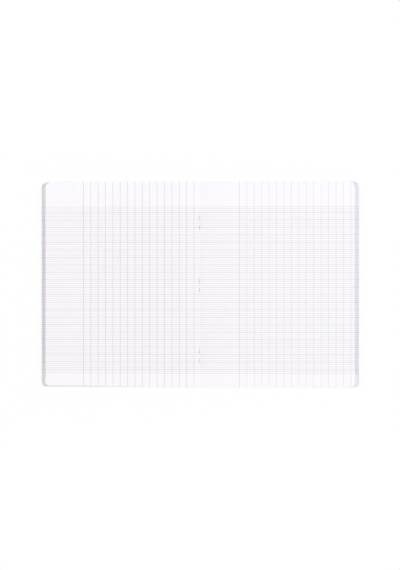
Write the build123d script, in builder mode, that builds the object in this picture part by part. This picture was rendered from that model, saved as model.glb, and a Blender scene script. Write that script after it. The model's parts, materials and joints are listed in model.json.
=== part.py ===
from build123d import *
import math
import os

# A stapled exercise book: folded sheets nested in a card cover, lying open at the middle spread.
# Millimetres. X runs across the spread from the fold, Y towards the head of the page and Z up
# from the table. A sheet turns about its crease, so each half of it is a piece of its own.

# Book, 17 x 22 cm when closed
PAGE_HEIGHT = 220.0
COVER_WIDTH = 170.0  # of one half, from the fold to the fore-edge
HEAD_CORNER_RADIUS = 7.0
TAIL_CORNER_RADIUS = 4.5
SHEET_COUNT = 24  # two leaves each, so 96 pages

# Paper and card
PAPER_THICKNESS = 0.105
CARD_THICKNESS = 0.30
SHEET_GAP = 0.015  # air between sheets that lie on each other
FOLD_SLIT = 0.02  # between the two halves, along the crease

# Staples of round wire
WIRE_DIAMETER = 0.45
WIRE_SIDES = 12  # of the section, so that the bends have few faces
WIRE_CLEARANCE = 0.05  # round the wire, in the slits that it goes through
CROWN_LENGTH = 12.5  # outside, along the back of the fold
LONG_CLINCH = 5.0  # of a leg, where it is folded down on the middle spread
SHORT_CLINCH = 2.5  # of the other leg of the same staple
BEND_INSIDE = 0.08  # radius on the inside of a bend
STAPLE_PLACES = (67.0, -0.5, -78.0)  # along the fold, from the middle of the page
SHORT_ENDS = (-1, -1, 1)  # where the short leg of each staple is: 1 towards the head

# What follows from the sizes above
sheet_pitch = PAPER_THICKNESS + SHEET_GAP
stack_top = CARD_THICKNESS + SHEET_COUNT * sheet_pitch
# A sheet goes a quarter turn round the folds inside it, and the closed book is trimmed flush, so
# each leaf is narrower than the one outside it by this much.
creep = math.pi / 2 * sheet_pitch
slit_width = WIRE_DIAMETER + 2 * WIRE_CLEARANCE
crown_slit = CROWN_LENGTH + 2 * WIRE_CLEARANCE
bend_radius = WIRE_DIAMETER / 2 + BEND_INSIDE
crown_height = WIRE_DIAMETER / 2
clinch_height = stack_top + bend_radius
leg_spacing = CROWN_LENGTH - WIRE_DIAMETER
# The crown and its bends bed into the card and the outer sheets up to here, flush with the table.
crown_bed = WIRE_DIAMETER + BEND_INSIDE

LEFT, RIGHT = -1, 1


def make_half(label, side, width, base, thickness):
    """One half of a folded sheet: round corners at the fore-edge, slits for the staples at the fold."""
    spine_edge, fore_edge = (Align.MAX, 0) if side == LEFT else (Align.MIN, -1)
    with BuildPart() as half:
        with BuildSketch(Plane.XY.offset(base)) as outline:
            with Locations((side * FOLD_SLIT / 2, 0)):
                Rectangle(width - FOLD_SLIT / 2, PAGE_HEIGHT, align=(spine_edge, Align.CENTER))
            for end, radius in ((0, TAIL_CORNER_RADIUS), (-1, HEAD_CORNER_RADIUS)):
                corner = outline.vertices().group_by(Axis.X)[fore_edge].sort_by(Axis.Y)[end]
                fillet(corner, radius)
            with Locations(*[(0, place) for place in STAPLE_PLACES]):
                if base < crown_bed:
                    Rectangle(slit_width, crown_slit, mode=Mode.SUBTRACT)
                else:
                    with GridLocations(0, leg_spacing, 1, 2):
                        Rectangle(slit_width, slit_width, mode=Mode.SUBTRACT)
        extrude(amount=thickness)
    half.part.label = label
    export_step(half.part, f"parts/{label}.step")


def make_staples():
    """The three staples: a crown under the fold, two legs up through it, clinched towards each other."""
    with BuildPart() as staples:
        for place, end in zip(STAPLE_PLACES, SHORT_ENDS):
            short_leg, long_leg = place + end * leg_spacing / 2, place - end * leg_spacing / 2
            short_tip = place + end * (CROWN_LENGTH / 2 - SHORT_CLINCH)
            long_tip = place - end * (CROWN_LENGTH / 2 - LONG_CLINCH)
            with BuildLine() as wire:
                FilletPolyline(
                    (0, short_tip, clinch_height),
                    (0, short_leg, clinch_height),
                    (0, short_leg, crown_height),
                    (0, long_leg, crown_height),
                    (0, long_leg, clinch_height),
                    (0, long_tip, clinch_height),
                    radius=bend_radius,
                )
            with BuildSketch(Plane(origin=wire.line @ 0, z_dir=wire.line % 0)):
                RegularPolygon(WIRE_DIAMETER / 2, WIRE_SIDES)
            sweep(path=wire.line)
    staples.part.label = "staples"
    export_step(staples.part, "parts/staples.step")


os.makedirs("parts", exist_ok=True)
make_half("front_cover", LEFT, COVER_WIDTH, 0, CARD_THICKNESS)
make_half("back_cover", RIGHT, COVER_WIDTH, 0, CARD_THICKNESS)
make_staples()
for number in range(1, SHEET_COUNT + 1):
    # Sheet 1 is the innermost, so it lies on top of the open book.
    sheets_under = SHEET_COUNT - number
    width = COVER_WIDTH - (sheets_under + 1) * creep
    base = CARD_THICKNESS + SHEET_GAP + sheets_under * sheet_pitch
    make_half(f"sheet_{number:02d}_left_leaf", LEFT, width, base, PAPER_THICKNESS)
    make_half(f"sheet_{number:02d}_right_leaf", RIGHT, width, base, PAPER_THICKNESS)
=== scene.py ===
"""A stapled exercise book, lying open at its middle spread.

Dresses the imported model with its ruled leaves, their folds, the card cover and the wire staples, and
sets the stage. Metres, in the frame of the model: X runs across the spread from the fold, Y towards
the head of the page and Z up from the table.
"""

import json
import math
import random

import bmesh
import bpy
from bpy.props import (
    FloatProperty,
    FloatVectorProperty,
    IntProperty,
    IntVectorProperty,
    PointerProperty,
)
from bpy.types import Operator, Panel, PropertyGroup
from mathutils import Matrix, Vector


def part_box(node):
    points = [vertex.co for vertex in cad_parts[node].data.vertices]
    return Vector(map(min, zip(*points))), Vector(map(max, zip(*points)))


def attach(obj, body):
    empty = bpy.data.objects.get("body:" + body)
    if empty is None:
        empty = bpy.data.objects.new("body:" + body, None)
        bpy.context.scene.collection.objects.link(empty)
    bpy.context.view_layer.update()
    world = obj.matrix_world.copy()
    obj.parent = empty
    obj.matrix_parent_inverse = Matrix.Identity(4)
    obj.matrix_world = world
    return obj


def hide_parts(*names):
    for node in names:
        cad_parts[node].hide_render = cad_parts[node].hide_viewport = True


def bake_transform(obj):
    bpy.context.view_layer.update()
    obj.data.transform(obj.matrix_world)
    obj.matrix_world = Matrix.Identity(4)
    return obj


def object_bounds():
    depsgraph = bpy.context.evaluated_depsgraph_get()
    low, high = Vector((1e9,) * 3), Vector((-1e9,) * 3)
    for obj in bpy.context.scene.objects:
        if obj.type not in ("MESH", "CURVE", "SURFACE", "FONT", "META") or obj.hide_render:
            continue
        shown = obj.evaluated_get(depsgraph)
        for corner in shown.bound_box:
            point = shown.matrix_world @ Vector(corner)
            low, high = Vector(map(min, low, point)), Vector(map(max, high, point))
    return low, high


bl_info = {
    "name": "Stapled exercise book",
    "version": (1, 0, 0),
    "blender": (4, 5, 0),
    "location": "View3D > Sidebar > Exercise book",
    "description": "Dresses the packed model of an exercise book that lies open at its middle spread",
    "category": "Add Mesh",
}

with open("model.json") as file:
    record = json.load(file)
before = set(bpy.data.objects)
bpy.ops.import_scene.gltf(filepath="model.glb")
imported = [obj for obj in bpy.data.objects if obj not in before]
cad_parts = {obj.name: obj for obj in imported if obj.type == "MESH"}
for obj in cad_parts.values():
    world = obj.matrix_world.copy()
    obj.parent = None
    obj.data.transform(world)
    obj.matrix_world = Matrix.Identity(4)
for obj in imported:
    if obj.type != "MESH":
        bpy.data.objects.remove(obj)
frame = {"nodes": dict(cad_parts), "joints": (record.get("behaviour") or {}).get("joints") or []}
cad_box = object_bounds()

MM = 0.001
QUARTER_TURN = math.radians(90)
LEFT, RIGHT = -1, 1
SIDE_NAMES = {LEFT: "left", RIGHT: "right"}
COVER_NAMES = {LEFT: "front_cover", RIGHT: "back_cover"}

sheet_count = sum(node.endswith("_left_leaf") for node in frame["nodes"])
# All the joints turn about one line, which runs along the fold at this height.
hinge_height = frame["joints"][0]["pos_m"][2]
page_foot, page_head = (corner.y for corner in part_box("sheet_01_left_leaf"))
page_height = page_head - page_foot


def linear(hex_colour):
    """The linear RGBA values of an sRGB hex colour."""
    srgb = [int(hex_colour[i : i + 2], 16) / 255 for i in (0, 2, 4)]
    return [c / 12.92 if c <= 0.04045 else ((c + 0.055) / 1.055) ** 2.4 for c in srgb] + [1.0]


WHITE = linear("ffffff")


def length(name, description, millimetres):
    """A length that the user can change."""
    return FloatProperty(
        name=name, description=description, default=millimetres * MM, unit="LENGTH", precision=5
    )


def tally(name, description, default, least=0):
    """A whole number that the user can change."""
    return IntProperty(name=name, description=description, default=default, min=least)


def fraction(name, description, default):
    """A part of one that the user can change."""
    return FloatProperty(
        name=name, description=description, default=default, min=0.0, max=1.0, subtype="FACTOR"
    )


def power(name, description, watts):
    """The power of a lamp, which the user can change."""
    return FloatProperty(name=name, description=description, default=watts, unit="POWER")


def colour(name, description, hex_colour):
    """A colour that the user can change."""
    return FloatVectorProperty(
        name=name, description=description, default=linear(hex_colour), size=4, subtype="COLOR"
    )


class PaperSettings(PropertyGroup):
    """The sheets: how they lie and what they are made of"""

    head_corner: length("Head corner", "Radius of the fore-edge corner at the head", 7.0)
    tail_corner: length("Tail corner", "Radius of the fore-edge corner at the tail", 4.5)
    fold_zone: length("Fold zone", "Strip beside the fold that stays with the spine", 0.3)
    crest_height: length("Crest height", "How far the top leaf swells up beside the fold", 0.75)
    crest_distance: length("Crest distance", "From the fold to where a leaf swells most", 22.0)
    fan_height: length("Fan height", "How far the leaves of a side part at the fore-edge, in all", 0.5)
    tail_step: length("Tail step", "How far the top left leaf draws back at its tail corner", 0.8)
    cloud_size: length("Cloud size", "Of the cloudy patches that the fibres form", 6.0)
    fibre_size: length("Fibre size", "Of the tooth of the paper, drawn coarse so that it shows", 0.4)
    white: colour("White", "Of the sheet", "fdfcfd")
    cloud: colour("Cloud", "Where the fibres lie thinner", "faf8fb")
    # The trimmed edges are coloured darker and more mauve than the paper: painted shade, standing in for
    # the shade between the stacked sheets at the fore-edge.
    shaded_cut_edge: colour("Shaded cut edge", "Of the trimmed edges", "d8d2e4")
    dark_shaded_edge: colour("Dark shaded edge", "Of the trimmed edges, where the nap is deep", "bab4c8")


class RulingSettings(PropertyGroup):
    """The printed ruling, measured from the head of the page and from the fold"""

    first_strong: length("First strong line", "From the head to the first strong line", 33.5)
    strong_pitch: length("Strong pitch", "From one strong line to the next", 8.0)
    strong_count: tally("Strong lines", "Down a page", 22, least=1)
    spaces: tally("Spaces", "Between two strong lines", 4, least=1)
    lines_above: tally("Above", "Fine lines over the first strong one", 3)
    lines_below: tally("Below", "Fine lines under the last strong one", 2)
    column_count: tally("Columns", "Upright lines on a page", 16, least=1)
    column_pitch: length("Column pitch", "From one upright to the next", 7.92)
    verso_column: length("Verso column", "From the fold to the first upright of a left page", 5.82)
    recto_column: length("Recto column", "From the fold to the first upright of a right page", 42.68)
    fine_width: length("Fine width", "Of a fine line, between its half-tones", 0.2)
    strong_width: length("Strong width", "Of a strong line, between its half-tones", 0.25)
    column_width: length("Column width", "Of an upright line, between its half-tones", 0.22)
    margin_width: length("Margin width", "Of the margin line, between its half-tones", 0.3)
    fine_ink: fraction("Fine ink", "How much of the paper the ink hides in a fine line", 0.68)
    strong_ink: fraction("Strong ink", "The same for a strong line", 0.6)
    verso_ink: fraction("Verso ink", "The same for the uprights of a left page", 1.0)
    recto_ink: fraction("Recto ink", "The same for the uprights of a right page", 0.65)
    margin_ink: fraction("Margin ink", "The same for what the margin has over an upright", 0.25)
    ink: colour("Ink", "Of the ruling", "a29ca5")
    margin_colour: colour("Margin colour", "Of the margin line", "9a8fa3")


class CoverSettings(PropertyGroup):
    """The card cover"""

    fold_zone: length("Fold zone", "Strip beside the fold that bends as the book closes", 0.7)
    wear_width: length("Wear width", "Of the rubbed rim of the card", 1.2)
    grain_size: length("Grain size", "Of the card's mottled surface", 0.8)
    card: colour("Card", "Of the dyed card", "7091b4")
    dark_card: colour("Dark card", "Where the dye took more", "6585a9")
    worn_card: colour("Worn card", "Where the rim and the fold are rubbed", "9fb4cc")
    bare_card: colour("Bare card", "Of the inside and of the cut edges", "e9e6ea")
    dark_bare_card: colour("Dark bare card", "Where the fibres of the inside lie thinner", "dcd8dd")


class StapleSettings(PropertyGroup):
    """The wire staples"""

    wire_diameter: length("Wire", "Diameter of the wire", 0.45)
    clearance: length("Clearance", "Round the wire, in the slits that it goes through", 0.05)
    crown_length: length("Crown", "Outside length along the back of the fold", 12.5)
    long_clinch: length("Long clinch", "Of a leg, where it is folded down", 5.0)
    short_clinch: length("Short clinch", "Of the other leg of the same staple", 2.5)
    bend_inside: length("Bend", "Radius on the inside of a bend", 0.08)
    places: FloatVectorProperty(
        name="Places",
        description="Of the staples along the fold, from the middle of the page",
        default=(67.0 * MM, -0.5 * MM, -78.0 * MM),
        size=3,
        unit="LENGTH",
    )
    short_ends: IntVectorProperty(
        name="Short ends",
        description="Where the short leg of each staple is: 1 towards the head, -1 towards the foot",
        default=(-1, -1, 1),
        size=3,
    )
    drawn_length: length("Drawn length", "How far the short leg has drawn out its hole", 1.5)
    wire: colour("Wire colour", "Of the bright steel", "bcbdc2")


class StageSettings(PropertyGroup):
    """Camera, light and floor"""

    camera_distance: length("Camera distance", "From the middle of the picture", 1500.0)
    lean: FloatProperty(
        name="Lean",
        description="Of the camera, to the right of straight above",
        default=math.radians(2.25),
        subtype="ANGLE",
    )
    view_height: length("View height", "What the picture takes in, from top to bottom", 609.7)
    view_centre: FloatVectorProperty(
        name="View centre",
        description="Middle of the picture on the table",
        default=(0.4 * MM, -1.05 * MM),
        size=2,
        unit="LENGTH",
    )
    right_power: power("Right", "Soft light that comes in low from the right", 85.5)
    left_power: power("Left", "Warmer light that comes in low from the left", 73.5)
    head_power: power("Head", "Soft light above the head of the page", 7.2)
    foot_power: power("Foot", "Soft light that lights the tail edge", 28.0)
    ambient: fraction("Ambient", "Even light from all round", 0.07)
    cool: colour("Cool", "Of the light from the right", "fcfdff")
    warm: colour("Warm", "Of the light from the left", "fff9f4")
    sky: colour("Sky", "Of the even light and of that from the head", "dfe8ff")
    floor: colour("Floor", "Of the table", "fdfdfd")


class BookSettings(PropertyGroup):
    """All that can be set on the exercise book"""

    paper: PointerProperty(type=PaperSettings)
    ruling: PointerProperty(type=RulingSettings)
    cover: PointerProperty(type=CoverSettings)
    staples: PointerProperty(type=StapleSettings)
    stage: PointerProperty(type=StageSettings)


PAGE_UV = "page"  # metres from the fold and from the head of the page


def add_node(tree, kind, inputs=None, **settings):
    """Adds a node with its settings. An input is given a value, or the socket that it is linked to."""
    node = tree.nodes.new(kind)
    for name, value in settings.items():
        setattr(node, name, value)
    for socket, value in (inputs or {}).items():
        if isinstance(value, bpy.types.NodeSocket):
            tree.links.new(value, node.inputs[socket])
        else:
            node.inputs[socket].default_value = value
    return node


def clear_nodes(owner):
    """The node tree of a new material or world, with nothing in it yet."""
    owner.use_nodes = True
    owner.node_tree.nodes.clear()
    return owner.node_tree


def rule_lines(tree, ground, along, places, width, strength, ink):
    """Rules lines on a ground, across the way that along measures, and returns the colour of both.

    The places of the lines are (first, pitch, count). A line has its strength in its middle and fades
    out over its width to either side.
    """
    first, pitch, count = places
    from_first = add_node(tree, "ShaderNodeMath", {0: along, 1: first}, operation="SUBTRACT").outputs[0]
    to_line = add_node(tree, "ShaderNodeMath", {0: from_first, 1: pitch / 2}, operation="PINGPONG")
    line = add_node(
        tree,
        "ShaderNodeMapRange",
        {"Value": to_line.outputs[0], "From Max": width, "To Min": strength, "To Max": 0.0},
    )
    middle = (count - 1) * pitch / 2
    ruled = add_node(
        tree, "ShaderNodeMath", {0: from_first, 1: middle, 2: middle + width}, operation="COMPARE"
    )
    inked = add_node(
        tree, "ShaderNodeMath", {0: line.outputs["Result"], 1: ruled.outputs[0]}, operation="MULTIPLY"
    )
    return add_node(
        tree, "ShaderNodeMix", {"Factor": inked.outputs[0], "A": ground, "B": ink}, data_type="RGBA"
    ).outputs["Result"]


# Inputs of the nodes that finish a surface. Where it has a grain, the roughness goes with that.
PAPER_ROUGHNESS = {"To Min": 0.75, "To Max": 0.92}
PAPER_TOOTH = {"Strength": 0.15, "Distance": 0.02 * MM}
PAPER_GLOSS = {"IOR": 1.5, "Specular IOR Level": 0.1}
BARE_FINISH = {"Roughness": 0.95, "Specular IOR Level": 0.1}
CARD_ROUGHNESS = {"To Min": 0.6, "To Max": 0.8}
CARD_TOOTH = {"Strength": 0.25, "Distance": 0.05 * MM}
CARD_GLOSS = {"IOR": 1.5, "Specular IOR Level": 0.25}
WIRE_ROUGHNESS = {"To Min": 0.22, "To Max": 0.42}


def ruled_paper(name, book, first_column, margin, upright_ink):
    """Wood-free writing paper, calendered and printed with ruling.

    To the eye it is matt white with a faint violet cast, a little cloudy where the fibres lie thinner,
    and its lilac-grey lines are soft at their rims, where the ink has spread into the paper.
    """
    paper, ruling = book.paper, book.ruling
    material = bpy.data.materials.new(name)
    tree = clear_nodes(material)
    page = add_node(tree, "ShaderNodeUVMap", uv_map=PAGE_UV).outputs["UV"]
    place = add_node(tree, "ShaderNodeSeparateXYZ", {"Vector": page})
    across, down = place.outputs["X"], place.outputs["Y"]
    clouds = add_node(
        tree, "ShaderNodeTexNoise", {"Vector": page, "Scale": 1 / paper.cloud_size, "Detail": 3.0}
    )
    fibres = add_node(
        tree, "ShaderNodeTexNoise", {"Vector": page, "Scale": 1 / paper.fibre_size, "Detail": 2.0}
    )
    shown = add_node(
        tree,
        "ShaderNodeMix",
        {"Factor": clouds.outputs["Fac"], "A": paper.white, "B": paper.cloud},
        data_type="RGBA",
    ).outputs["Result"]
    line_pitch = ruling.strong_pitch / ruling.spaces
    first_line = ruling.first_strong - ruling.lines_above * line_pitch
    spaces = (ruling.strong_count - 1) * ruling.spaces + ruling.lines_above + ruling.lines_below
    fine = (first_line, line_pitch, spaces + 1)
    strong = (ruling.first_strong, ruling.strong_pitch, ruling.strong_count)
    uprights = (first_column, ruling.column_pitch, ruling.column_count)
    margin_alone = (margin, ruling.column_pitch, 1)
    for along, places, width, strength, ink in (
        (down, fine, ruling.fine_width, ruling.fine_ink, ruling.ink),
        (down, strong, ruling.strong_width, ruling.strong_ink, ruling.ink),
        (across, uprights, ruling.column_width, upright_ink, ruling.ink),
        (across, margin_alone, ruling.margin_width, ruling.margin_ink, ruling.margin_colour),
    ):
        shown = rule_lines(tree, shown, along, places, width, strength, ink)
    roughness = add_node(
        tree, "ShaderNodeMapRange", {"Value": fibres.outputs["Fac"], **PAPER_ROUGHNESS}
    )
    tooth = add_node(tree, "ShaderNodeBump", {"Height": fibres.outputs["Fac"], **PAPER_TOOTH})
    surface = add_node(
        tree,
        "ShaderNodeBsdfPrincipled",
        {
            "Base Color": shown,
            "Roughness": roughness.outputs["Result"],
            "Normal": tooth.outputs["Normal"],
            **PAPER_GLOSS,
        },
    )
    add_node(tree, "ShaderNodeOutputMaterial", {"Surface": surface.outputs["BSDF"]})
    return material


def bare_fibres(name, pale, dark, grain):
    """Cut paper, or card with nothing on it.

    To the eye it is matt, with a nap of pale and of darker fibres. For cut paper, both colours are
    darkened with painted shade.
    """
    material = bpy.data.materials.new(name)
    tree = clear_nodes(material)
    page = add_node(tree, "ShaderNodeUVMap", uv_map=PAGE_UV).outputs["UV"]
    nap = add_node(tree, "ShaderNodeTexNoise", {"Vector": page, "Scale": 1 / grain})
    shown = add_node(
        tree, "ShaderNodeMix", {"Factor": nap.outputs["Fac"], "A": pale, "B": dark}, data_type="RGBA"
    )
    surface = add_node(
        tree, "ShaderNodeBsdfPrincipled", {"Base Color": shown.outputs["Result"], **BARE_FINISH}
    )
    add_node(tree, "ShaderNodeOutputMaterial", {"Surface": surface.outputs["BSDF"]})
    return material


PAGE_MATERIALS = ("ruled_paper_verso", "ruled_paper_recto", "cut_paper_edge_painted_shade")
VERSO_SLOT, RECTO_SLOT, SHADED_CUT_EDGE_SLOT = range(len(PAGE_MATERIALS))


def page_materials(book):
    """The paper's three looks, made once: left page, right page and cut edge, which carries painted
    shade.
    """
    paper, ruling = book.paper, book.ruling
    verso, recto, shaded_cut_edge = PAGE_MATERIALS
    if verso not in bpy.data.materials:
        # The margin is the outermost upright of a left page and the innermost of a right page.
        outermost = ruling.verso_column + (ruling.column_count - 1) * ruling.column_pitch
        ruled_paper(verso, book, ruling.verso_column, outermost, ruling.verso_ink)
        ruled_paper(recto, book, ruling.recto_column, ruling.recto_column, ruling.recto_ink)
        # The cut edges get the darker colours: painted shade for the stacked sheets.
        bare_fibres(shaded_cut_edge, paper.shaded_cut_edge, paper.dark_shaded_edge, paper.fibre_size)
    return [bpy.data.materials[name] for name in PAGE_MATERIALS]


def cover_card(name, book, half_width):
    """Dyed cover card, uncoated and rolled.

    To the eye it is matt, slightly mottled where the dye took unevenly, and rubbed paler along its rim
    and its fold.
    """
    cover = book.cover
    material = bpy.data.materials.new(name)
    tree = clear_nodes(material)
    page = add_node(tree, "ShaderNodeUVMap", uv_map=PAGE_UV).outputs["UV"]
    place = add_node(tree, "ShaderNodeSeparateXYZ", {"Vector": page})
    grain = add_node(
        tree, "ShaderNodeTexNoise", {"Vector": page, "Scale": 1 / cover.grain_size, "Detail": 4.0}
    ).outputs["Fac"]
    dyed = add_node(
        tree,
        "ShaderNodeMix",
        {"Factor": grain, "A": cover.card, "B": cover.dark_card},
        data_type="RGBA",
    )
    to_side = add_node(
        tree, "ShaderNodeMath", {0: place.outputs["X"], 1: half_width / 2}, operation="PINGPONG"
    )
    to_end = add_node(
        tree, "ShaderNodeMath", {0: place.outputs["Y"], 1: page_height / 2}, operation="PINGPONG"
    )
    to_rim = add_node(
        tree, "ShaderNodeMath", {0: to_side.outputs[0], 1: to_end.outputs[0]}, operation="MINIMUM"
    )
    rubbed = add_node(
        tree,
        "ShaderNodeMapRange",
        {"Value": to_rim.outputs[0], "From Max": cover.wear_width, "To Min": 1.0, "To Max": 0.0},
    )
    worn = add_node(
        tree, "ShaderNodeMath", {0: rubbed.outputs["Result"], 1: grain}, operation="MULTIPLY"
    )
    shown = add_node(
        tree,
        "ShaderNodeMix",
        {"Factor": worn.outputs[0], "A": dyed.outputs["Result"], "B": cover.worn_card},
        data_type="RGBA",
    )
    roughness = add_node(tree, "ShaderNodeMapRange", {"Value": grain, **CARD_ROUGHNESS})
    tooth = add_node(tree, "ShaderNodeBump", {"Height": grain, **CARD_TOOTH})
    surface = add_node(
        tree,
        "ShaderNodeBsdfPrincipled",
        {
            "Base Color": shown.outputs["Result"],
            "Roughness": roughness.outputs["Result"],
            "Normal": tooth.outputs["Normal"],
            **CARD_GLOSS,
        },
    )
    add_node(tree, "ShaderNodeOutputMaterial", {"Surface": surface.outputs["BSDF"]})
    return material


STREAKS_ACROSS = 10  # the thickness of the wire; real ones are finer and would not show
STREAK_STRETCH = 20  # times as long as a streak is wide


def steel_wire(name, book):
    """Bright drawn steel wire.

    To the eye it is a grey metal, with the fine streaks that the drawing die leaves along it.
    """
    staples = book.staples
    material = bpy.data.materials.new(name)
    tree = clear_nodes(material)
    place = add_node(tree, "ShaderNodeTexCoord").outputs["Object"]
    stretched = add_node(
        tree, "ShaderNodeMapping", {"Vector": place, "Scale": (1.0, 1 / STREAK_STRETCH, 1.0)}
    )
    streaks = add_node(
        tree,
        "ShaderNodeTexNoise",
        {"Vector": stretched.outputs["Vector"], "Scale": STREAKS_ACROSS / staples.wire_diameter},
    )
    roughness = add_node(
        tree, "ShaderNodeMapRange", {"Value": streaks.outputs["Fac"], **WIRE_ROUGHNESS}
    )
    surface = add_node(
        tree,
        "ShaderNodeBsdfPrincipled",
        {"Base Color": staples.wire, "Metallic": 1.0, "Roughness": roughness.outputs["Result"]},
    )
    add_node(tree, "ShaderNodeOutputMaterial", {"Surface": surface.outputs["BSDF"]})
    return material


CORNER_STEPS = 8
SHARP_ANGLE = math.radians(50)  # between faces, from which an edge isn't shaded smooth
LEVEL = 0.5  # least rise or fall of the normal of a page; that of a rim is less


def cut_across(bm, point, normal):
    """Cuts a line of edges across the mesh where the plane goes through it."""
    everything = bm.verts[:] + bm.edges[:] + bm.faces[:]
    bmesh.ops.bisect_plane(bm, geom=everything, plane_co=point, plane_no=normal)


def round_off(bm, geom, affect, radius, steps):
    """Rounds off the corners of a sheet, where affect is VERTICES, or edges, where it is EDGES."""
    bmesh.ops.bevel(
        bm,
        geom=geom,
        offset=radius,
        offset_type="OFFSET",
        affect=affect,
        segments=steps,
        profile=0.5,
        material=-1,
    )


def half_sheet(side, inner, outer, top, cuts, rows, tail_corner=0.0, head_corner=0.0):
    """A flat half of a folded sheet at z = top, from its inner to its outer distance from the fold.

    It is cut across at each of the distances in cuts, and into rows of equal height.
    """
    bm = bmesh.new()
    halfway = (inner + outer) / 2
    middle = Matrix.Translation((side * halfway, (page_foot + page_head) / 2, top))
    size = Matrix.Diagonal((outer - inner, page_height, 1.0, 1.0))
    # The size of a grid is half its side, so this is a square of one metre, brought to size.
    bmesh.ops.create_grid(bm, x_segments=1, y_segments=1, size=0.5, matrix=middle @ size)
    at_fore_edge = [vert for vert in bm.verts if abs(vert.co.x) > halfway]
    corners = sorted(at_fore_edge, key=lambda vert: vert.co.y)
    for corner, radius in zip(corners, (tail_corner, head_corner)):
        if radius > 0:
            round_off(bm, [corner], "VERTICES", radius, CORNER_STEPS)
    for distance in cuts:
        cut_across(bm, (side * distance, 0, 0), (1, 0, 0))
    for row in range(1, rows):
        cut_across(bm, (0, page_foot + page_height * row / rows, 0), (0, 1, 0))
    return bm


def hole_reach(staples):
    """From the middle of a wire to the rim of the slit that it goes through."""
    return staples.wire_diameter / 2 + staples.clearance


def slit_spans(staples, base):
    """Where the staples go through a half sheet at this height, as (low, high) along the fold."""
    # The crowns bed into the card and the outer sheets, and the legs go through the others.
    if base < staples.wire_diameter + staples.bend_inside:
        crown = staples.crown_length / 2 + staples.clearance
        return [(place - crown, place + crown) for place in staples.places]
    leg = (staples.crown_length - staples.wire_diameter) / 2
    reach = hole_reach(staples)
    spans = []
    for place, short_end in zip(staples.places, staples.short_ends):
        for end in (-1, 1):
            far = reach + staples.drawn_length if end == short_end else reach
            spans.append(sorted((place + end * (leg - reach), place + end * (leg + far))))
    return spans


def cut_slits(bm, side, spans, depth):
    """Opens slits along the fold of a half sheet, as deep as this from the fold."""
    cut_across(bm, (side * depth, 0, 0), (1, 0, 0))
    for y in (end for span in spans for end in span):
        cut_across(bm, (0, y, 0), (0, 1, 0))
    inside = []
    for face in bm.faces:
        middle = face.calc_center_median()
        if abs(middle.x) < depth and any(low < middle.y < high for low, high in spans):
            inside.append(face)
    bmesh.ops.delete(bm, geom=inside, context="FACES")


def thicken(bm, thickness, upper, lower, rim):
    """Gives a flat sheet its thickness, downwards, with a material slot for each way that it looks."""
    bmesh.ops.solidify(bm, geom=bm.faces[:], thickness=thickness)
    bm.normal_update()
    page = bm.loops.layers.uv.new(PAGE_UV)
    for face in bm.faces:
        if abs(face.normal.z) < LEVEL:
            face.material_index = rim
        else:
            face.material_index = upper if face.normal.z > 0 else lower
        for loop in face.loops:
            loop[page].uv = (abs(loop.vert.co.x), page_head - loop.vert.co.y)


def make_mesh(name, bm, materials=()):
    """The finished mesh of a bmesh, which is used up, with its material slots."""
    mesh = bpy.data.meshes.new(name)
    bm.to_mesh(mesh)
    bm.free()
    for material in materials:
        mesh.materials.append(material)
    return mesh


def add_object(name, data):
    """An object of a mesh, a lamp or a camera, linked to the scene."""
    added = bpy.data.objects.new(name, data)
    bpy.context.scene.collection.objects.link(added)
    return added


def add_piece(name, bm, materials):
    """A piece of the book, smooth but for its sharp rims."""
    for face in bm.faces:
        face.smooth = True
    for edge in bm.edges:
        edge.smooth = edge.calc_face_angle(0.0) < SHARP_ANGLE
    piece = add_object(name, make_mesh(name, bm, materials))
    return piece


def leaf_node(side, number):
    """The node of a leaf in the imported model."""
    return f"sheet_{number:02d}_{SIDE_NAMES[side]}_leaf"


def page_slots(side):
    """Material slots of the upper and the lower page of a leaf."""
    return (VERSO_SLOT, RECTO_SLOT) if side == LEFT else (RECTO_SLOT, VERSO_SLOT)


BEND_STEPS = 20  # along the stretch of a leaf that bends as it turns
SWELL_STEPS = 22  # from the fold to the fore-edge, closer together near the fold
LEAF_ROWS = 12
SHARES = (0.2, 1.8)  # of the sheets in the fan, before they are scaled to a sum of one
WAVELENGTHS = (60, 140)  # millimetres along the fore-edge
WAVE_DEPTH = 0.8  # of a share; under one, so that no sheet goes through the one under it
FAN_POWER = 3  # of the distance from the fold, with which the fan opens


def fore_edge_waves(side):
    """How each sheet of a side parts from the one under it, as (share, wavelength, phase)."""
    draw = random.Random(side)
    waves = [
        (draw.uniform(*SHARES), draw.uniform(*WAVELENGTHS) * MM, draw.uniform(0, 2 * math.pi))
        for _ in range(sheet_count)
    ]
    whole = sum(share for share, _, _ in waves)
    return [(share / whole, wavelength, phase) for share, wavelength, phase in waves]


def leaf_lift(paper, waves, number, reach, distance, y):
    """How far a leaf lies above its flat place.

    Every sheet adds to the lift of those that lie on it, so none goes through its neighbour: they swell
    up beside the fold, where the staples hold them down, and part a little towards the fore-edge.
    """
    lifting_sheets = sheet_count + 1 - number
    out = distance / paper.crest_distance
    swell = paper.crest_height * lifting_sheets / sheet_count * out * math.exp(1 - out)
    parting = sum(
        share * (1 + WAVE_DEPTH * math.sin(2 * math.pi * y / wavelength + phase))
        for share, wavelength, phase in waves[number - 1 :]
    )
    return swell + paper.fan_height * parting * (distance / reach) ** FAN_POWER


def tail_draw_back(paper, number, reach, distance, y):
    """How far the tail of a left leaf lies back from its flat place.

    The top leaf draws back most and the lowest not at all. Each does so more towards the fore-edge, and
    only in the last row of its faces.
    """
    step = paper.tail_step * (sheet_count - number) / (sheet_count - 1)
    last_row = page_height / LEAF_ROWS
    return step * distance / reach * max(0.0, 1 - (y - page_foot) / last_row)


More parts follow.
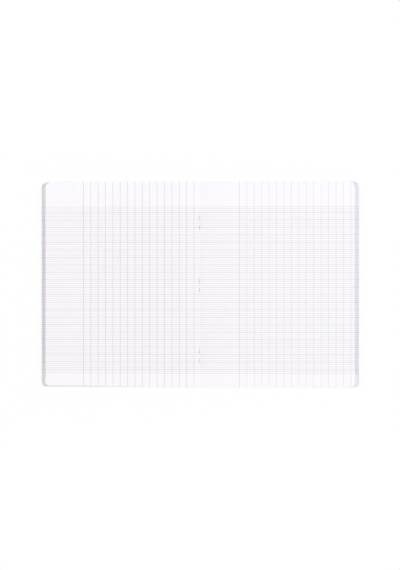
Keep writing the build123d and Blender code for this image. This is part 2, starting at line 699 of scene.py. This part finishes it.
def add_leaf(book, side, number, waves):
    """One ruled leaf, its mesh cut finely beside the fold, over the stretch that a turning leaf bends
    in.
    """
    paper = book.paper
    node = leaf_node(side, number)
    low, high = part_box(node)
    outer = max(abs(low.x), abs(high.x))
    reach = outer - paper.fold_zone
    # The stretch that bends is as long as a quarter turn round the hinge line. As the leaf turns over,
    # it is drawn out round half a turn.
    bend = QUARTER_TURN * (hinge_height - (low.z + high.z) / 2)
    bend_end = paper.fold_zone + bend
    cuts = [paper.fold_zone + bend * step / BEND_STEPS for step in range(1, BEND_STEPS + 1)]
    swell_cuts = [paper.fold_zone + reach * (step / SWELL_STEPS) ** 2 for step in range(1, SWELL_STEPS)]
    cuts += [distance for distance in swell_cuts if distance > bend_end + bend / BEND_STEPS]
    corners = (paper.tail_corner, paper.head_corner)
    bm = half_sheet(side, paper.fold_zone, outer, high.z, cuts, LEAF_ROWS, *corners)
    thicken(bm, high.z - low.z, *page_slots(side), SHADED_CUT_EDGE_SLOT)
    for vert in bm.verts:
        distance = abs(vert.co.x) - paper.fold_zone
        vert.co.z += leaf_lift(paper, waves, number, reach, distance, vert.co.y)
        if side == LEFT:
            vert.co.y += tail_draw_back(paper, number, reach, distance, vert.co.y)
    body = f"{SIDE_NAMES[side]}_leaf_{number:02d}"
    leaf = add_piece(f"{body}_paper", bm, page_materials(book))
    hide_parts(node)
    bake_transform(leaf)


class EXERCISE_BOOK_OT_add_leaves(Operator):
    """Add the ruled leaves, each a half of a folded sheet that turns about the fold"""

    bl_idname = "exercise_book.add_leaves"
    bl_label = "Leaves"

    def execute(self, context):
        for side in (LEFT, RIGHT):
            waves = fore_edge_waves(side)
            for number in range(1, sheet_count + 1):
                add_leaf(context.scene.exercise_book, side, number, waves)
        return {"FINISHED"}


FOLD_STEPS = 8


def add_folds(book, side):
    """The stretch of all the sheets of a side that goes round the spine when the book closes."""
    paper = book.paper
    cuts = [paper.fold_zone * step / FOLD_STEPS for step in range(1, FOLD_STEPS)]
    folds = bmesh.new()
    for number in range(1, sheet_count + 1):
        low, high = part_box(leaf_node(side, number))
        bm = half_sheet(side, 0.0, paper.fold_zone, high.z, cuts, 1)
        cut_slits(bm, side, slit_spans(book.staples, low.z), hole_reach(book.staples))
        thicken(bm, high.z - low.z, *page_slots(side), SHADED_CUT_EDGE_SLOT)
        strip = make_mesh("strip", bm)
        folds.from_mesh(strip)
        bpy.data.meshes.remove(strip)
    piece = add_piece(f"{SIDE_NAMES[side]}_sheet_folds", folds, page_materials(book))
    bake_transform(piece)


class EXERCISE_BOOK_OT_add_folds(Operator):
    """Add the folds of the sheets, which the staples hold together"""

    bl_idname = "exercise_book.add_folds"
    bl_label = "Folds"

    def execute(self, context):
        for side in (LEFT, RIGHT):
            add_folds(context.scene.exercise_book, side)
        return {"FINISHED"}


COVER_STEPS = 16
OUTSIDE_SLOT, INSIDE_SLOT = range(2)


def place_in_blend(turned):
    """How far along a blended stretch a point lies that turns by this part of the joint's angle.

    The blend eases in and out by t * t * (3 - 2 * t), and this is the inverse of that.
    """
    return 0.5 - math.sin(math.asin(1 - 2 * turned) / 3)


def add_cover_half(book, side):
    """One half of the card cover, its mesh cut finely beside the fold, over the stretch that bends as
    the book closes.
    """
    cover, paper = book.cover, book.paper
    node = COVER_NAMES[side]
    low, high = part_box(node)
    outer = max(abs(low.x), abs(high.x))
    zone = cover.fold_zone
    cuts = [zone * step / COVER_STEPS for step in range(1, COVER_STEPS + 1)]
    bm = half_sheet(side, 0.0, outer, high.z, cuts, 1, paper.tail_corner, paper.head_corner)
    # Closing draws the fold of the card out round the spine, and its slits with it: they are then as
    # wide as the crowns of the staples that lie in them.
    turned = math.asin(hole_reach(book.staples) / (hinge_height - low.z)) / QUARTER_TURN
    cut_slits(bm, side, slit_spans(book.staples, low.z), zone * place_in_blend(turned))
    thicken(bm, high.z - low.z, upper=INSIDE_SLOT, lower=OUTSIDE_SLOT, rim=INSIDE_SLOT)
    outside = cover_card(f"dyed_card_{node}", book, outer)
    inside = bare_fibres(f"bare_card_{node}", cover.bare_card, cover.dark_bare_card, cover.grain_size)
    piece = add_piece(f"{node}_card", bm, [outside, inside])
    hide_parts(node)
    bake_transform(piece)


class EXERCISE_BOOK_OT_add_cover(Operator):
    """Add the two halves of the card cover"""

    bl_idname = "exercise_book.add_cover"
    bl_label = "Cover"

    def execute(self, context):
        for side in (LEFT, RIGHT):
            add_cover_half(context.scene.exercise_book, side)
        return {"FINISHED"}


WIRE_SIDES = 16
BEND_RINGS = 6
TIP_ROUNDING = 0.25  # of the wire's radius
TIP_STEPS = 2


def run_straight(bm, ring, move):
    """Draws a wire on straight from the ring of edges at its end, and returns its new end."""
    made = bmesh.ops.extrude_edge_only(bm, edges=ring)["geom"]
    verts = [part for part in made if isinstance(part, bmesh.types.BMVert)]
    bmesh.ops.translate(bm, verts=verts, vec=move)
    edges = [part for part in made if isinstance(part, bmesh.types.BMEdge)]
    return [edge for edge in edges if set(edge.verts) <= set(verts)]


def run_round(bm, ring, centre):
    """Draws a wire on round a bend from the ring of edges at its end, and returns its new end."""
    verts = list({vert for edge in ring for vert in edge.verts})
    made = bmesh.ops.spin(
        bm,
        geom=verts + ring,
        cent=centre,
        axis=(1, 0, 0),
        angle=-QUARTER_TURN,
        steps=BEND_RINGS,
    )["geom_last"]
    return [part for part in made if isinstance(part, bmesh.types.BMEdge)]


def draw_staple(bm, staples, place, short_end, crown_height, clinch_height):
    """One staple, from the tip of its long leg along the crown to the tip of its short leg."""
    radius = staples.wire_diameter / 2
    bend = radius + staples.bend_inside
    straight = staples.crown_length / 2 - radius - bend
    rise = clinch_height - crown_height - 2 * bend
    long_tip = staples.crown_length / 2 - staples.long_clinch
    short_tip = staples.crown_length / 2 - staples.short_clinch
    others = len(bm.verts)
    facing_head = Matrix.Rotation(-QUARTER_TURN, 4, "X")
    start = Matrix.Translation((0, long_tip, clinch_height)) @ facing_head
    tip = bmesh.ops.create_circle(bm, cap_ends=True, radius=radius, segments=WIRE_SIDES, matrix=start)
    ring = list({edge for vert in tip["verts"] for edge in vert.link_edges})
    ring = run_straight(bm, ring, (0, straight - long_tip, 0))
    ring = run_round(bm, ring, (0, straight, clinch_height - bend))
    ring = run_straight(bm, ring, (0, 0, -rise))
    ring = run_round(bm, ring, (0, straight, crown_height + bend))
    ring = run_straight(bm, ring, (0, -2 * straight, 0))
    ring = run_round(bm, ring, (0, -straight, crown_height + bend))
    ring = run_straight(bm, ring, (0, 0, rise))
    ring = run_round(bm, ring, (0, -straight, clinch_height - bend))
    ring = run_straight(bm, ring, (0, straight - short_tip, 0))
    bmesh.ops.holes_fill(bm, edges=ring)
    # It is drawn with its short leg towards the foot, and turned about where that is towards the head.
    about = Matrix.Rotation(math.pi if short_end > 0 else 0.0, 4, "Z")
    verts = bm.verts[:][others:]
    bmesh.ops.transform(bm, matrix=Matrix.Translation((0, place, 0)) @ about, verts=verts)


def add_staples(book):
    """The three staples, as one piece that turns with the spine."""
    staples = book.staples
    low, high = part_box("staples")
    radius = staples.wire_diameter / 2
    bm = bmesh.new()
    for place, short_end in zip(staples.places, staples.short_ends):
        draw_staple(bm, staples, place, short_end, low.z + radius, high.z - radius)
    bmesh.ops.recalc_face_normals(bm, faces=bm.faces)
    tips = [face for face in bm.faces if len(face.verts) == WIRE_SIDES]
    tip_edges = [edge for tip in tips for edge in tip.edges]
    round_off(bm, tip_edges, "EDGES", radius * TIP_ROUNDING, TIP_STEPS)
    piece = add_piece("staple_wires", bm, [steel_wire("drawn_steel_wire", book)])
    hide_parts("staples")
    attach(piece, "spine")


class EXERCISE_BOOK_OT_add_staples(Operator):
    """Add the wire staples, their legs clinched on the middle spread"""

    bl_idname = "exercise_book.add_staples"
    bl_label = "Staples"

    def execute(self, context):
        add_staples(context.scene.exercise_book)
        return {"FINISHED"}


FLOOR_SIZE = 12.0  # metres
FLOOR_DROP = 0.05 * MM  # under the card, so that the two faces don't lie in one plane
SHADOW_REACH = 0.06  # metres from the book, over which the floor goes over to plain white
SHADOW_LOSS = 0.88  # how much of its shadow the floor loses right beside the book
FOLD_REACH = 0.3 * MM  # either side of the fold, where the floor loses none of it

# The lamps, in metres
LAMP_SIZE = 1.2
RIGHT_LAMP = (2.6, 0.45, 1.5)
LEFT_LAMP = (-2.6, 0.45, 1.5)
HEAD_LAMP = (0.2, 1.2, 2.6)
FOOT_LAMP = (0.2, -2.9, 0.8)

SENSOR_WIDTH = 36.0  # millimetres


def seen_directly(tree):
    """1 for rays that show the floor or the sky, straight or in a gloss, and 0 for rays that light."""
    path = add_node(tree, "ShaderNodeLightPath")
    mirrored = add_node(
        tree,
        "ShaderNodeMath",
        {0: path.outputs["Is Glossy Ray"], 1: path.outputs["Is Transmission Ray"]},
        operation="MAXIMUM",
    )
    return add_node(
        tree,
        "ShaderNodeMath",
        {0: path.outputs["Is Camera Ray"], 1: mirrored.outputs[0]},
        operation="MAXIMUM",
    ).outputs[0]


def white_table(name, stage):
    """A matt white table that keeps the book's shadow near it and goes over to plain white beyond."""
    material = bpy.data.materials.new(name)
    tree = clear_nodes(material)
    place = add_node(tree, "ShaderNodeTexCoord").outputs["Object"]
    from_middle = add_node(tree, "ShaderNodeVectorMath", {0: place}, operation="ABSOLUTE").outputs[0]
    book_corner = (cad_box[1].x, cad_box[1].y, 0)
    beyond = add_node(
        tree, "ShaderNodeVectorMath", {0: from_middle, 1: book_corner}, operation="SUBTRACT"
    )
    outwards = add_node(tree, "ShaderNodeSeparateXYZ", {"Vector": beyond.outputs["Vector"]})
    distance = add_node(
        tree, "ShaderNodeMath", {0: outwards.outputs["X"], 1: outwards.outputs["Y"]}, operation="MAXIMUM"
    ).outputs[0]
    plain = add_node(
        tree,
        "ShaderNodeMapRange",
        {"Value": distance, "From Max": SHADOW_REACH, "To Min": SHADOW_LOSS},
    )
    # What shows through the holes at the staples stays dark.
    aside = add_node(tree, "ShaderNodeSeparateXYZ", {"Vector": from_middle})
    off_fold = add_node(
        tree, "ShaderNodeMath", {0: aside.outputs["X"], 1: FOLD_REACH}, operation="GREATER_THAN"
    )
    off_book = add_node(tree, "ShaderNodeMath", {0: distance, 1: 0.0}, operation="GREATER_THAN")
    open_floor = add_node(
        tree, "ShaderNodeMath", {0: off_fold.outputs[0], 1: off_book.outputs[0]}, operation="MAXIMUM"
    )
    seen = add_node(
        tree, "ShaderNodeMath", {0: open_floor.outputs[0], 1: seen_directly(tree)}, operation="MULTIPLY"
    )
    whitened = add_node(
        tree, "ShaderNodeMath", {0: plain.outputs["Result"], 1: seen.outputs[0]}, operation="MULTIPLY"
    )
    matt = add_node(tree, "ShaderNodeBsdfDiffuse", {"Color": stage.floor})
    white = add_node(tree, "ShaderNodeEmission", {"Color": WHITE, "Strength": 1.0})
    mixed = add_node(
        tree,
        "ShaderNodeMixShader",
        {0: whitened.outputs[0], 1: matt.outputs["BSDF"], 2: white.outputs["Emission"]},
    )
    add_node(tree, "ShaderNodeOutputMaterial", {"Surface": mixed.outputs["Shader"]})
    return material


def add_table(stage):
    """The table that the book lies on, which fills the picture."""
    bm = bmesh.new()
    level = Matrix.Translation((0, 0, -FLOOR_DROP))
    bmesh.ops.create_grid(bm, x_segments=1, y_segments=1, size=FLOOR_SIZE / 2, matrix=level)
    table = add_object("table", make_mesh("table", bm, [white_table("matt_white_table", stage)]))


def add_lamp(name, place, watts, lamp_colour):
    """A square soft lamp that points at the book."""
    lamp = bpy.data.lights.new(name, "AREA")
    lamp.size = LAMP_SIZE
    lamp.energy = watts
    lamp.color = lamp_colour[:3]
    holder = add_object(name, lamp)
    holder.location = place
    holder.rotation_euler = (-Vector(place)).to_track_quat("-Z", "Y").to_euler()


def add_sky(stage):
    """Even light from all round, from a sky that shows as plain white."""
    world = bpy.data.worlds.new("studio")
    tree = clear_nodes(world)
    light = add_node(tree, "ShaderNodeBackground", {"Color": stage.sky, "Strength": stage.ambient})
    white = add_node(tree, "ShaderNodeBackground", {"Color": WHITE, "Strength": 1.0})
    mixed = add_node(
        tree,
        "ShaderNodeMixShader",
        {0: seen_directly(tree), 1: light.outputs["Background"], 2: white.outputs["Background"]},
    )
    add_node(tree, "ShaderNodeOutputWorld", {"Surface": mixed.outputs["Shader"]})
    bpy.context.scene.world = world


def add_camera(stage):
    """The camera, which looks down on the spread and leans a little to the right."""
    camera = bpy.data.cameras.new("camera")
    camera.sensor_width = SENSOR_WIDTH
    page_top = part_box("sheet_01_left_leaf")[1].z
    # The sensor's width lies along the taller side of the picture.
    camera.lens = SENSOR_WIDTH * (stage.camera_distance - page_top) / stage.view_height
    holder = add_object("camera", camera)
    upwards = Matrix.Rotation(stage.lean, 3, "Y") @ Vector((0, 0, stage.camera_distance))
    holder.location = Vector((*stage.view_centre, 0)) + upwards
    holder.rotation_euler = (0, stage.lean, 0)
    bpy.context.scene.camera = holder


class EXERCISE_BOOK_OT_set_stage(Operator):
    """Set the floor, the light and the camera, which looks down on the spread"""

    bl_idname = "exercise_book.set_stage"
    bl_label = "Stage"

    def execute(self, context):
        stage = context.scene.exercise_book.stage
        add_table(stage)
        add_lamp("right_light", RIGHT_LAMP, stage.right_power, stage.cool)
        add_lamp("left_light", LEFT_LAMP, stage.left_power, stage.warm)
        add_lamp("head_light", HEAD_LAMP, stage.head_power, stage.sky)
        add_lamp("foot_light", FOOT_LAMP, stage.foot_power, WHITE)
        add_sky(stage)
        add_camera(stage)
        context.scene.view_settings.view_transform = "Standard"
        return {"FINISHED"}


OPERATORS = (
    EXERCISE_BOOK_OT_add_cover,
    EXERCISE_BOOK_OT_add_leaves,
    EXERCISE_BOOK_OT_add_folds,
    EXERCISE_BOOK_OT_add_staples,
    EXERCISE_BOOK_OT_set_stage,
)


class VIEW3D_PT_exercise_book(Panel):
    """The exercise book's pieces and settings"""

    bl_label = "Exercise book"
    bl_space_type = "VIEW_3D"
    bl_region_type = "UI"
    bl_category = "Exercise book"

    def draw(self, context):
        book = context.scene.exercise_book
        for operator in OPERATORS:
            self.layout.operator(operator.bl_idname)
        for group in (book.paper, book.ruling, book.cover, book.staples, book.stage):
            box = self.layout.box()
            for name in group.__annotations__:
                box.prop(group, name)


CLASSES = (
    PaperSettings,
    RulingSettings,
    CoverSettings,
    StapleSettings,
    StageSettings,
    BookSettings,
    *OPERATORS,
    VIEW3D_PT_exercise_book,
)


def register():
    for cls in CLASSES:
        bpy.utils.register_class(cls)
    bpy.types.Scene.exercise_book = PointerProperty(type=BookSettings)


def unregister():
    del bpy.types.Scene.exercise_book
    for cls in reversed(CLASSES):
        bpy.utils.unregister_class(cls)


def main():
    register()
    bpy.ops.exercise_book.add_cover()
    bpy.ops.exercise_book.add_leaves()
    bpy.ops.exercise_book.add_folds()
    bpy.ops.exercise_book.add_staples()
    bpy.ops.exercise_book.set_stage()


if __name__ == "__main__":
    main()
